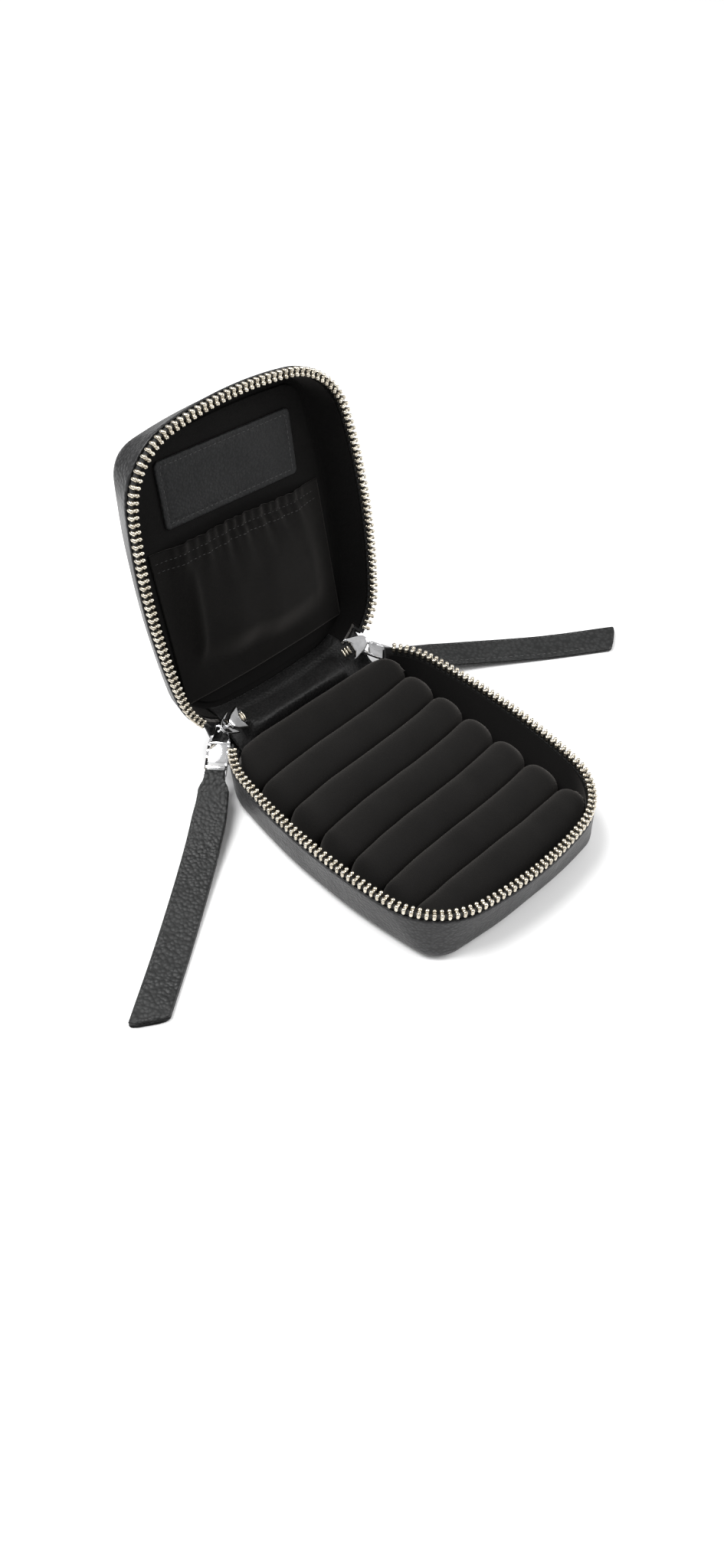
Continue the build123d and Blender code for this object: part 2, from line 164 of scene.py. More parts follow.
def woven(name, dark, light, thread_mm):
    """twill: two sets of threads that cross, one a little prouder than the other; painted shade in the
    hollows between threads, painted highlight on the prouder ones
    """
    mat, shader = material(name, Roughness=0.8, Sheen_Weight=0.2, Sheen_Roughness=0.4)
    where = coords(mat)
    turned = add(mat, "Mapping", {"Vector": where, "Rotation": (0.6, 0.5, 0.78)}).outputs[0]
    per_band = math.pi / (thread_mm * MM) / 10
    waves = [add(mat, "TexWave", {"Vector": turned, "Scale": per_band, "Distortion": 0.6},
                 bands_direction=axis).outputs["Fac"] for axis in "XY"]
    height = add(mat, "Math", {0: waves[0], 1: waves[1]}, operation="MAXIMUM").outputs[0]
    # colour follows the weave's relief: hollows painted darker as shade, prouder threads painted
    # lighter as highlight
    mat.node_tree.links.new(ramp(mat, height, (0.2, dark), (0.9, light)), shader.inputs["Base Color"])
    finish_with(mat, shader, height, 0.00008)
    return mat


def metal(name, dull, bright, rough_low, rough_high):
    """plated metal with faint handling marks"""
    mat, shader = material(name, Metallic=1.0)
    where = coords(mat)
    smudge = add(mat, "TexNoise", {"Vector": where, "Scale": 420.0, "Detail": 4.0}).outputs["Fac"]
    link = mat.node_tree.links.new
    link(ramp(mat, smudge, (0.3, dull), (0.65, bright)), shader.inputs["Base Color"])
    rough = add(mat, "MapRange", {"Value": smudge, "To Min": rough_high, "To Max": rough_low})
    link(rough.outputs[0], shader.inputs["Roughness"])
    fine = add(mat, "TexNoise", {"Vector": where, "Scale": 2500.0, "Detail": 2.0}).outputs["Fac"]
    finish_with(mat, shader, fine, 0.000006)
    return mat


LEATHER = leather("black_pebbled_leather", (0.006, 0.006, 0.0065), (0.022, 0.022, 0.023), 1050.0, 0.42)
STRAP_LEATHER = leather("strap_leather", (0.0062, 0.0065, 0.0065), (0.0211, 0.0217, 0.0217), 900.0, 0.5,
                        0.00014)
# label leather: black leather, its colour set darker than the case's leather as painted shade, because
# the label faces the light
SHADED_LABEL_LEATHER = leather("label_leather_painted_shade", (0.0028, 0.003, 0.0033), (0.0084, 0.009, 0.0095), 1300.0, 0.6,
                        0.0001, 0.28)
GUSSET_LEATHER = leather("gusset_leather", (0.0036, 0.0036, 0.0036), (0.0108, 0.0102, 0.0102), 1300.0,
                         0.55)
ROLL_SUEDE = suede("roll_suede", (0.0025, 0.0023, 0.0021), (0.0058, 0.0054, 0.0051), 0.16)
LINING_SUEDE = suede("lining_suede", (0.0015, 0.0014, 0.0014), (0.0039, 0.0037, 0.0035), 0.08)
POCKET_CLOTH = suede("pocket_cloth", (0.0022, 0.002, 0.0019), (0.0059, 0.0055, 0.0051), 0.13, 3200.0)
TAPE_WEAVE = woven("tape_weave", (0.004, 0.004, 0.004), (0.016, 0.016, 0.016), 0.45)
BOARD = woven("pressed_board", (0.10, 0.095, 0.09), (0.17, 0.16, 0.15), 0.8)
THREAD = woven("black_thread", (0.01, 0.01, 0.01), (0.045, 0.045, 0.045), 0.25)
TEETH_METAL = metal("champagne_teeth", (0.42, 0.375, 0.30), (0.70, 0.65, 0.55), 0.18, 0.34)
SLIDER_METAL = metal("polished_slider", (0.60, 0.60, 0.61), (0.78, 0.78, 0.79), 0.05, 0.14)


# ---------------------------------------------------------------- mesh helpers
def grid_faces(rows, cols, wrap, keep=None):
    """quads between rows of points; wrap closes each row"""
    faces = []
    for r in range(rows - 1):
        for c in range(cols if wrap else cols - 1):
            if keep is None or keep(r, c):
                n = (c + 1) % cols
                faces.append((r * cols + c, r * cols + n, (r + 1) * cols + n, (r + 1) * cols + c))
    return faces


def tidy_mesh(mesh, merge_mm):
    """merge doubled points, drop loose ones, face outwards and shade smooth"""
    bm = bmesh.new()
    bm.from_mesh(mesh)
    bmesh.ops.remove_doubles(bm, verts=bm.verts, dist=merge_mm * MM)
    loose = [v for v in bm.verts if not v.link_faces]
    bmesh.ops.delete(bm, geom=loose, context="VERTS")
    bmesh.ops.recalc_face_normals(bm, faces=bm.faces)
    bm.to_mesh(mesh)
    bm.free()
    mesh.polygons.foreach_set("use_smooth", [True] * len(mesh.polygons))
    mesh.update()


def piece(name, points, faces, mat, slot, body=None, place=None, merge_mm=0.002):
    """a new mesh from points in millimetres; place is applied to them first"""
    mesh = bpy.data.meshes.new(name)
    moved = [Vector(p) if place is None else place @ Vector(p) for p in points]
    mesh.from_pydata([p * MM for p in moved], [], faces)
    mesh.materials.append(mat)
    tidy_mesh(mesh, merge_mm)
    obj = bpy.data.objects.new(name, mesh)
    bpy.context.scene.collection.objects.link(obj)
    if body:
        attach(obj, body)
    return obj


def baked(obj, *modifiers):
    """add modifiers, given as (type, settings), and keep their result as the mesh"""
    for kind, settings in modifiers:
        mod = obj.modifiers.new(kind.lower(), kind)
        for key, value in settings.items():
            setattr(mod, key, value)
    bpy.context.view_layer.update()
    mesh = bpy.data.meshes.new_from_object(obj.evaluated_get(bpy.context.evaluated_depsgraph_get()))
    obj.modifiers.clear()
    obj.data = mesh
    mesh.polygons.foreach_set("use_smooth", [True] * len(mesh.polygons))
    return obj


def ripple(point, size_mm, seed):
    """smooth noise from about -1 to 1 that varies over size_mm"""
    return noise.noise(Vector(point) / size_mm + Vector((seed * 7.3, seed * 3.1, seed * 5.7)))


def smooth(a, b, value):
    """0 below a, 1 above b, an eased step between"""
    t = max(0.0, min(1.0, (value - a) / (b - a)))
    return t * t * (3 - 2 * t)


def eased(a, b, leave, arrive, t):
    """point at t of the cubic from a to b with the given tangents"""
    return a * (2 * t ** 3 - 3 * t ** 2 + 1) + leave * (t ** 3 - 2 * t ** 2 + t) \
        + b * (3 * t ** 2 - 2 * t ** 3) + arrive * (t ** 3 - t ** 2)


def capped(faces, cols, count):
    """faces with both end rings of a closed grid of count points filled in"""
    return faces + [tuple(range(cols)), tuple(range(count - cols, count))]


def beads(spots):
    """ellipsoids, each given as (centre, radii), as one mesh"""
    bm = bmesh.new()
    for centre, radii in spots:
        place = Matrix.Translation(centre) @ Matrix.Diagonal((*radii, 1))
        bmesh.ops.create_uvsphere(bm, u_segments=12, v_segments=8, radius=1.0, matrix=place)
    points = [v.co.copy() for v in bm.verts]
    faces = [tuple(v.index for v in f.verts) for f in bm.faces]
    bm.free()
    return points, faces


# ---------------------------------------------------------------- the case's outline
def rim_arcs(shape, grow):
    """right half of the outline, front to back, as (centre x, centre y, radius, start, end angle)"""
    half_w, half_l, shift, bow_side, bow_end, front_r, back_r = shape
    r_side = (half_l ** 2 + bow_side ** 2) / (2 * bow_side)
    r_end = (half_w ** 2 + bow_end ** 2) / (2 * bow_end)
    side_x, end_y = half_w - r_side, half_l - r_end
    gap = math.hypot(side_x, end_y)
    ex, ey = -side_x / gap, end_y / gap

    def corner(rc):
        r1, r2 = r_side - rc, r_end - rc
        along = (r1 * r1 - r2 * r2 + gap * gap) / (2 * gap)
        off = math.sqrt(r1 * r1 - along * along)
        mx, my = side_x + along * ex, along * ey
        return max((mx + off * ey, my - off * ex), (mx - off * ey, my + off * ex), key=sum)

    (pf, qf), (pb, qb) = corner(front_r), corner(back_r)
    side_f, side_b = math.atan2(qf, pf - side_x), math.atan2(qb, pb - side_x)
    end_f, end_b = math.atan2(qf - end_y, pf), math.atan2(qb - end_y, pb)
    quarter = math.pi / 2
    return [(0, shift - end_y, r_end + grow, -quarter, -end_f),
            (pf, shift - qf, front_r + grow, -end_f, -side_f),
            (side_x, shift, r_side + grow, -side_f, side_b),
            (pb, shift + qb, back_r + grow, side_b, end_b),
            (0, shift + end_y, r_end + grow, end_b, quarter)]


def along_rim(arcs, s):
    """point and outward normal s along the outline from the middle of the front"""
    side, left = (1 if s >= 0 else -1), abs(s)
    for cx, cy, r, start, end in arcs:
        if left <= r * (end - start):
            break
        left -= r * (end - start)
    angle = min(start + left / r, end)
    return (side * (cx + r * math.cos(angle)), cy + r * math.sin(angle)), \
        (side * math.cos(angle), math.sin(angle))


def ring(shape, grow, count=LOOP_COUNT):
    """closed loop of (point, normal), evenly spaced, from the middle of the back round the left"""
    arcs = rim_arcs(shape, grow)
    half = sum(r * (end - start) for _, _, r, start, end in arcs)
    return [along_rim(arcs, half * (2 * k / count - 1)) for k in range(count)]


class Half:
    """side +1 is the base, downwards from the zip line; -1 the lid, upwards while shut"""

    def __init__(self, side, depth, panel):
        self.side, self.depth, self.panel = side, depth, panel

    def loop(self, depth, inset, count=LOOP_COUNT):
        """closed loop of (point, normal) at a depth below the zip line, inset from the leather"""
        t = max(0.0, (depth - RIM_BAND) / (self.depth - RIM_BAND))
        shape = tuple(r + (p - r) * t for r, p in zip(RIM, self.panel))
        z = ZIP_Z - self.side * depth
        return [((x, y, z), n) for (x, y), n in ring(shape, RIM_LIP * (1 - t) - inset, count)]

    def wall(self, start, end, round_r, steps=7):
        """(depth, inset) down the outside of the wall and round its lower edge"""
        down = [(start + (end - round_r - start) * k / 6, 0.0) for k in range(6)]
        turn = [(end - round_r + round_r * math.sin(a), round_r * (1 - math.cos(a)))
                for a in (math.pi / 2 * k / steps for k in range(steps + 1))]
        return down + turn


BASE, LID = Half(1, BASE_DEPTH, BASE_PANEL), Half(-1, LID_DEPTH, LID_PANEL)


# ---------------------------------------------------------------- leather of the two halves
def leather_shell(half, name, body, place, seed):
    """outer leather: turned-in hem, wall, rounded edge, sewn seam and a slightly crowned panel"""
    notch_depth = NOTCH_BELOW + ZIP_Z - HINGE_Z if half.side > 0 else NOTCH_ABOVE + HINGE_Z - ZIP_Z
    hem = [(5.0, 0.88), (3.4, 0.86), (3.05, 0.74), (2.9, 0.45), (2.98, 0.16), (3.3, 0.02)]
    body_rows = [(d, i) for d, i in half.wall(3.9, half.depth, EDGE_ROUND)
                 if abs(d - notch_depth) > 0.4]
    rows = sorted(body_rows + [(notch_depth, 0.0)])
    seam = [(half.depth, SEAM_INSET - 0.8), (half.depth - 0.25, SEAM_INSET - 0.2),
            (half.depth - 0.5, SEAM_INSET), (half.depth - 0.25, SEAM_INSET + 0.2),
            (half.depth, SEAM_INSET + 0.8)]
    rows = hem + rows + seam
    points = []
    for depth, inset in rows:
        for (x, y, z), (nx, ny) in half.loop(depth, inset):
            swell = 0.0 if depth < 4 or inset > EDGE_ROUND else \
                0.22 * ripple((x, y, z), 14.0, seed) * min(1.0, (depth - 4) / 3)
            points.append((x + nx * swell, y + ny * swell, z))
    rim = points[-LOOP_COUNT:]
    panel = (0.85, 0.7, 0.55, 0.4, 0.25, 0.12)
    for share in panel:
        lift = 0.12 * half.side * (1 - share)
        points += [(x * share, y * share, z + lift) for x, y, z in rim]

    def keep(r, c):
        if r + 1 >= len(rows) or max(rows[r][0], rows[r + 1][0]) > notch_depth + 0.01:
            return True
        corners = [points[r * LOOP_COUNT + (c + k) % LOOP_COUNT] for k in (0, 1)]
        return not all(abs(p[0]) < NOTCH_HALF + 0.6 and p[1] > NOTCH_Y for p in corners)

    faces = grid_faces(len(rows) + len(panel), LOOP_COUNT, True, keep)
    last = len(points) - LOOP_COUNT
    faces += [(last + k, last + (k + 1) % LOOP_COUNT, len(points)) for k in range(LOOP_COUNT)]
    points.append((0, 0, points[-1][2]))
    obj = piece(name, points, faces, LEATHER, "outer_leather", place=place)
    baked(obj, ("SOLIDIFY", {"thickness": 0.5 * MM, "offset": -1.0}))
    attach(obj, body)
    return obj


# ---------------------------------------------------------------- stitches
def stitches(name, line, body, mat=THREAD, pitch=2.3, length=1.75, radius=0.2, place=None, sink=0.05):
    """a row of thread stitches along points given as (point, outward normal), in millimetres"""
    run, spots = 0.0, []
    for (a, na), (b, nb) in zip(line, line[1:]):
        a, b = Vector(a), Vector(b)
        step = (b - a).length
        while step > 0 and run <= step:
            t = run / step
            up = Vector(na).lerp(Vector(nb), t).normalized()
            spots.append((a.lerp(b, t), up, (b - a).normalized()))
            run += pitch
        run -= step
    points, faces, sides = [], [], 6
    # along the stitch: place, thickness and lift, its ends sunk into the leather
    profile = [(-0.5, 0.25, -0.9), (-0.36, 0.8, -0.1), (0.0, 1.0, 0.25), (0.36, 0.8, -0.1),
               (0.5, 0.25, -0.9)]
    for centre, up, ahead in spots:
        across = ahead.cross(up).normalized()
        first = len(points)
        for at, fat, lift in profile:
            for k in range(sides):
                a = 2 * math.pi * k / sides
                rise = radius * (math.sin(a) * fat + lift) - sink
                offset = across * math.cos(a) * radius * fat + up * rise
                points.append(centre + ahead * at * length + offset)
        faces += [tuple(first + i for i in f) for f in grid_faces(len(profile), sides, True)]
        faces += [tuple(first + k for k in range(sides)),
                  tuple(first + (len(profile) - 1) * sides + k for k in range(sides))]
    return piece(name, points, faces, mat, "outer_leather", body, place, merge_mm=0.0001)


# ---------------------------------------------------------------- zip teeth
def tooth_mesh():
    """two rounded lobes with a saddle between them, on legs astride the tape; head up, tip at 0"""
    lobes = [((0.78, -0.62), (0.66, 0.64, 0.58)), ((-0.78, -0.62), (0.66, 0.64, 0.58)),
             ((0.0, -0.85), (0.75, 0.56, 0.5)), ((0.84, -1.55), (0.5, 0.58, 0.85)),
             ((-0.84, -1.55), (0.5, 0.58, 0.85))]
    return beads([((x, 0, z), radii) for (x, z), radii in lobes])


TOOTH_POINTS, TOOTH_FACES = tooth_mesh()


def zip_chain(side, node, body, place, shift):
    """a half's teeth: each a touch out of line, as crimped teeth are"""
    points, faces = [], []
    arcs = rim_arcs(RIM, 0)
    count = int(TEETH_RUN // TOOTH_PITCH)
    for k in range(-count, count + 1):
        s = (k + shift) * TOOTH_PITCH
        if abs(s) > TEETH_RUN:
            continue
        (x, y), (nx, ny) = along_rim(arcs, s)
        turn = math.atan2(ny, nx) + 0.05 * ripple((k, 0.5, 0.5), 1.7, 3)
        spin = Matrix.Rotation(turn, 4, "Z") @ Matrix.Diagonal((1, 1, side, 1))
        first = len(points)
        centre = Vector((x, y, ZIP_Z))
        points += [centre + spin @ p for p in TOOTH_POINTS]
        faces += [tuple(first + i for i in f) for f in TOOTH_FACES]
    obj = piece(node + "_finish", points, faces, TEETH_METAL, "teeth", body, place, merge_mm=0.0001)
    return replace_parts(obj, node)


# ---------------------------------------------------------------- soft spine
LEATHER_FOLD = ((2.6, -3.0), (3.8, -9.6))
LINING_FOLD = ((0.9, -1.3), (2.6, -7.4))
TUCK_FROM, TUCK_OVER = 17.5, 3.5
LID_STRIP_TOP, CLIMB_ROWS = 30.2, 6
OUTER_HALF, INNER_HALF = 31.2, 25.2


def wall_back(half, depth, inset, x):
    """y of the wall at the back, at a given x"""
    t = max(0.0, (depth - RIM_BAND) / (half.depth - RIM_BAND))
    shape = tuple(r + (p - r) * t for r, p in zip(RIM, half.panel))
    arcs = rim_arcs(shape, RIM_LIP * (1 - t) - inset)
    cx, cy, r, start, _ = arcs[4]
    if abs(x) <= r * math.cos(start):
        return cy + math.sqrt(r * r - x * x)
    px, py, rc = arcs[3][:3]
    return py + math.sqrt(max(0.0, rc * rc - (abs(x) - px) ** 2))


def spine_piece(name, inset, thick, fold, mat, slot, nodes, half_w, crease, climb=0.0):
    """folded strip between the two back walls, shaped from the base up to the lid as it stands open"""
    low, high = HINGE_Z - NOTCH_BELOW, HINGE_Z + NOTCH_ABOVE
    cols, rows = 63, 21
    points = []
    for c in range(cols):
        x = half_w * (2 * c / (cols - 1) - 1)
        base_y = wall_back(BASE, ZIP_Z - low, inset, x)
        lid_y = wall_back(LID, high - ZIP_Z, inset, x)
        tuck = smooth(TUCK_FROM, TUCK_FROM + TUCK_OVER, abs(x))
        (free_y, free_z), (tuck_y, tuck_z) = fold
        crest = Vector((x, HINGE_Y + free_y + (tuck_y - free_y) * tuck,
                        HINGE_Z + free_z + (tuck_z - free_z) * tuck))
        rise, run = 6.0 - 4.5 * tuck, 6.5 - 4.0 * tuck
        control = [Vector((x, base_y, low)), Vector((x, base_y, low + rise)), crest, crest,
                   TO_OPEN @ Vector((x, lid_y, high - run)), TO_OPEN @ Vector((x, lid_y, high))]
        for r in range(rows):
            u, line = r / (rows - 1), list(control)
            while len(line) > 1:
                line = [a.lerp(b, u) for a, b in zip(line, line[1:])]
            p = line[0]
            p.y += crease * ripple((x * 0.35, p.y, p.z), 3.2, 5) * math.sin(math.pi * u)
            points.append(p)
        for k in range(1, CLIMB_ROWS + 1 if climb else 1):
            z = high + (climb - high) * k / CLIMB_ROWS
            y = wall_back(LID, z - ZIP_Z, inset + 0.62, x)
            points.append(TO_OPEN @ Vector((x, y, z)))
    rows = len(points) // cols
    faces = grid_faces(cols, rows, False)
    obj = piece(name, points, faces, mat, slot)
    if obj.data.polygons[len(faces) // 2].normal.y < 0:
        obj.data.flip_normals()
    baked(obj, ("SOLIDIFY", {"thickness": thick * MM, "offset": -1.0}))
    start = Vector((0, wall_back(BASE, ZIP_Z - low, inset, 0), low + 0.6)) * MM
    end = (TO_OPEN @ Vector((0, wall_back(LID, high - ZIP_Z, inset, 0), high - 0.6))) * MM
    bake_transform(obj)
    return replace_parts(obj, *nodes)


# ---------------------------------------------------------------- ring rolls
# y of each crease between rolls at its left and right end, back to front
CREASE_LEFT = (27.5, 14.5, 2.0, -10.5, -22.5, -33.2)
CREASE_RIGHT = (33.0, 20.5, 8.0, -4.5, -17.5, -30.6)
ROLL_LEFT, ROLL_RIGHT = -36.2, 34.4
ROLL_FLOOR, ROLL_TOP, ROLL_TAPER = 3.5, 15.7, 6.2
BACK_WALL, FRONT_WALL = 44.5, -44.5
FIRST_ROLL_WIDE, LAST_ROLL_WIDE = 15.0, 13.6


def room_edge(count=180):
    """the space for the rolls: its outline, half way down"""
    return [Vector(p).to_2d() for p, _ in BASE.loop(9.0, LINING_IN + 0.5, count)]


ROOM = room_edge()


def kept_in(x, y):
    """the point, brought inside the lining if it is outside"""
    p = Vector((x, y))
    edge = min(ROOM, key=lambda q: (q - p).length_squared)
    return (edge.x, edge.y) if p.length_squared > edge.length_squared else (x, y)


def roll(index):
    """a stuffed suede roll, full along its middle, its ends drawn in and closed"""
    around, stations = 28, 47
    points = []
    for k in range(stations):
        e = math.sin(math.pi / 2 * (2 * k / (stations - 1) - 1))
        x = ROLL_LEFT + (ROLL_RIGHT - ROLL_LEFT) * (e + 1) / 2
        share = (x - ROLL_LEFT) / (ROLL_RIGHT - ROLL_LEFT)
        curve = share + 0.12 * math.sin(2 * math.pi * share)
        lines = [l + (r - l) * curve for l, r in zip(CREASE_LEFT, CREASE_RIGHT)]
        bounds = [BACK_WALL] + lines + [FRONT_WALL]
        high, low = bounds[index], bounds[index + 1]
        if index == 0:
            high = min(high, low + FIRST_ROLL_WIDE)
        if index == len(CREASE_LEFT):
            low = max(low, high - LAST_ROLL_WIDE)
        to_end = min(x - ROLL_LEFT, ROLL_RIGHT - x)
        full = math.sqrt(max(0.0, 1 - max(0.0, 1 - to_end / ROLL_TAPER) ** 2))
        half_w = (high - low) / 2 * (0.30 + 0.70 * full) - 0.05 if full > 0 else 0.0
        centre = (high + low) / 2
        top = ROLL_FLOOR + 3
        if full > 0:
            top = ROLL_FLOOR + (ROLL_TOP - ROLL_FLOOR) * (0.25 + 0.75 * full)
        mid = (ROLL_FLOOR + top) / 2
        for j in range(around):
            a = 2 * math.pi * j / around
            c, s = math.cos(a), math.sin(a)
            fat_c = math.copysign(abs(c) ** 0.85, c)
            fat_s = math.copysign(abs(s) ** 0.9, s)
            swell = 1 + 0.035 * ripple((x, centre * 3, a * 4), 9.0, index + 1)
            y = centre + half_w * fat_c * min(1.0, swell)
            z = mid + (top - mid) * fat_s * swell
            z -= 0.35 * max(0.0, s) * max(0.0, ripple((x, 3.0 * index, 0), 5.0, index + 11))
            x_in, y_in = kept_in(x, y)
            points.append((x_in, y_in, max(z, ROLL_FLOOR)))
    faces = capped(grid_faces(stations, around, True), around, len(points))
    name = "ring_roll_%d" % (index + 1)
    obj = piece(name + "_suede", points, faces, ROLL_SUEDE, "foam_roll", "base")
    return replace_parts(obj, name)


# ---------------------------------------------------------------- lid furniture, while shut
PANEL_FACE = ZIP_Z + LID_DEPTH - LINING_IN - 0.6
POCKET_LEFT, POCKET_RIGHT, POCKET_END = -31.0, 31.0, 38.5
HEM_WIDE = 3.2
LABEL_HALF = (23.9, 9.9, 0.75)       # half length, half width and thickness
LABEL_AT, LABEL_TURN = (0.9, -24.8), 3.0
# gathers along the hem: place, width and height of each crest
GATHERS = [(-27.5, 1.9, 0.5), (-23.4, 1.2, 0.9), (-20.2, 1.6, 1.2), (-16.3, 1.1, 0.7),
           (-13.0, 1.5, 1.3), (-9.4, 1.0, 0.8), (-6.6, 1.3, 1.3), (-3.0, 0.9, 1.0),
           (-0.2, 1.4, 1.5), (3.4, 1.1, 0.9), (6.3, 1.5, 1.4), (10.1, 1.0, 1.0),
           (12.9, 1.3, 1.3), (16.4, 1.2, 0.8), (19.3, 1.6, 1.3), (23.5, 1.1, 0.8), (27.0, 1.7, 0.6)]


def hem_line(x):
    """y of the pocket's gathered top"""
    return -7.3 + 0.045 * x - 0.8 * math.cos(x / 9.0) * math.exp(-(x / 26.0) ** 2)


def gathered(x, below):
    """height of the gathers a distance below the hem: crests fan out, widen and die away"""
    total = 0.0
    for at, width, crest in GATHERS:
        fan = at * (1 + below * 0.012) + 1.3 * ripple((at, below * 0.4, 0), 7.0, 3)
        wide = width * (1 + below * 0.10)
        reach = 5.0 + 7.0 * (crest - 0.4)
        total += crest * math.exp(-((x - fan) / wide) ** 2) * math.exp(-(below / reach) ** 1.4)
    return total


def pocket_point(u, v):
    """u from 0 to 1 across, v from 0 at the frill's edge to 1 at the bottom seam"""
    x = POCKET_LEFT + (POCKET_RIGHT - POCKET_LEFT) * u
    top = hem_line(x) - HEM_WIDE
    y = top + (POCKET_END - top) * v
    across = math.sin(math.pi * u)
    edge = smooth(0.0, 0.16, u) * smooth(0.0, 0.16, 1 - u)
    # the bag swells below the hem, sags, and folds in above its bottom seam
    sag = 25.0 + 3.0 * (2 * u - 1) + 2.2 * ripple((x, 0, 0), 13.0, 2)
    bulge = 1.6 + 4.6 * smooth(-9, sag - 6, y)
    inward = smooth(sag - 4.0, sag + 8.0, y)
    bulge = bulge * (1 - 0.85 * inward) * across ** 0.85
    below = max(0.0, y - top - HEM_WIDE)
    channel = math.exp(-((y - top - HEM_WIDE) / 0.8) ** 2)
    height = bulge + gathered(x, below) * edge * (1 - 0.5 * channel)
    drift = 0.9 * ripple((x * 0.7, y * 0.5 + 40, 0), 7.5, 8)
    height += drift * across * smooth(-2, 8, y) * (1 - 0.6 * inward)
    left_crease = math.exp(-((x + 20.0 + 0.12 * y) / 1.5) ** 2)
    height += 0.9 * left_crease * smooth(-8, 2, y) * (1 - inward)
    return x, y, PANEL_FACE - 0.25 - max(0.0, height) * edge


def lid_pocket():
    """one gathered sheet: a frill, an elastic channel, and the bag below it"""
    cols, rows = 141, 81
    points = [pocket_point(c / (cols - 1), r / (rows - 1)) for r in range(rows) for c in range(cols)]
    faces = grid_faces(rows, cols, False)
    obj = piece("lid_pocket", points, faces, POCKET_CLOTH, "lining", place=TO_OPEN)
    baked(obj, ("SOLIDIFY", {"thickness": 0.35 * MM, "offset": 0.0}))
    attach(obj, "lid")
    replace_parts(obj, "pocket_fabric", "pocket_elastic")
    for name, offset in (("pocket_stitch_upper", HEM_WIDE), ("pocket_stitch_lower", HEM_WIDE + 2.6)):
        line = []
        for k in range(121):
            u = 0.03 + 0.94 * k / 120
            x = POCKET_LEFT + (POCKET_RIGHT - POCKET_LEFT) * u
            top = hem_line(x) - HEM_WIDE
            px, py, pz = pocket_point(u, offset / (POCKET_END - top))
            line.append(((px, py, pz - 0.2), (0, 0, -1)))
        stitches(name, line, "lid", pitch=1.5, length=1.1, radius=0.1, place=TO_OPEN)


def rounded_rect(half_w, half_l, radius, steps=6):
    """corner-rounded rectangle as (x, y), anticlockwise"""
    line = []
    for quarter, (sx, sy) in enumerate(((1, 1), (-1, 1), (-1, -1), (1, -1))):
        for k in range(steps + 1):
            a = math.pi / 2 * (quarter + k / steps)
            line.append((sx * (half_w - radius) + radius * math.cos(a),
                         sy * (half_l - radius) + radius * math.sin(a)))
    return line


def label():
    """padded leather patch with a pressed border and a stitched edge"""
    half_w, half_l, thick = LABEL_HALF
    turn = Matrix.Translation((*LABEL_AT, PANEL_FACE - 0.05)) \
        @ Matrix.Rotation(math.radians(LABEL_TURN), 4, "Z")
    # inset from the edge and height: bevel, rim, pressed border, padded middle
    profile = [(0.0, 0.0), (0.0, 0.45), (0.15, 0.68), (0.45, 0.78), (1.1, 0.8), (1.6, 0.62), (2.1, 0.8),
               (4.0, 0.86), (7.0, 0.9)]
    points = []
    for inset, lift in profile:
        loop = rounded_rect(half_w - inset, half_l - inset, max(0.4, 1.6 - inset))
        points += [(x, y, -lift * thick / 0.8) for x, y in loop]
    cols = len(points) // len(profile)
    faces = capped(grid_faces(len(profile), cols, True), cols, len(points))
    obj = piece("label_leather_painted_shade", points, faces, SHADED_LABEL_LEATHER, "label", "lid", TO_OPEN @ turn)
    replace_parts(obj, "label_patch")
    border = rounded_rect(half_w - 1.6, half_l - 1.6, 0.8)
    line = [((x, y, -0.62), (0, 0, -1)) for x, y in border + border[:1]]
    stitches("label_stitches", line, "lid", pitch=1.7, length=1.3, radius=0.17, place=TO_OPEN @ turn)


# ---------------------------------------------------------------- straps
def on_curve(knots, s):
    """smooth curve through the knots; s runs from 0 to 1 by distance"""
    spans = [(Vector(b) - Vector(a)).length for a, b in zip(knots, knots[1:])]
    left = s * sum(spans)
    for k, span in enumerate(spans):
        if left <= span or k == len(spans) - 1:
            break
        left -= span
    p = [Vector(q) for q in knots]
    before = p[k - 1] if k else p[0] * 2 - p[1]
    after = p[k + 2] if k + 2 < len(p) else p[-1] * 2 - p[-2]
    t = left / spans[k]
    a, b = p[k], p[k + 1]
    return eased(a, b, (b - before) / 2, (after - a) / 2, t)


STRAP_HALF, NECK_HALF, PLY = 5.0, 3.0, 0.92
STRAP_SLANT = 0.42
EDGE_TAG = {-1: "a", 1: "b"}


def strap_width(s):
    """half width s millimetres from the pin"""
    return NECK_HALF + (STRAP_HALF - 0.5 - NECK_HALF) * smooth(1.2, 5.5, s) + 0.5 * smooth(5.5, 16.0, s)


def slant(s, total):
    """how far the strap leans into its slanted end, s millimetres from the pin"""
    return STRAP_SLANT * smooth(total - 22, total, s)


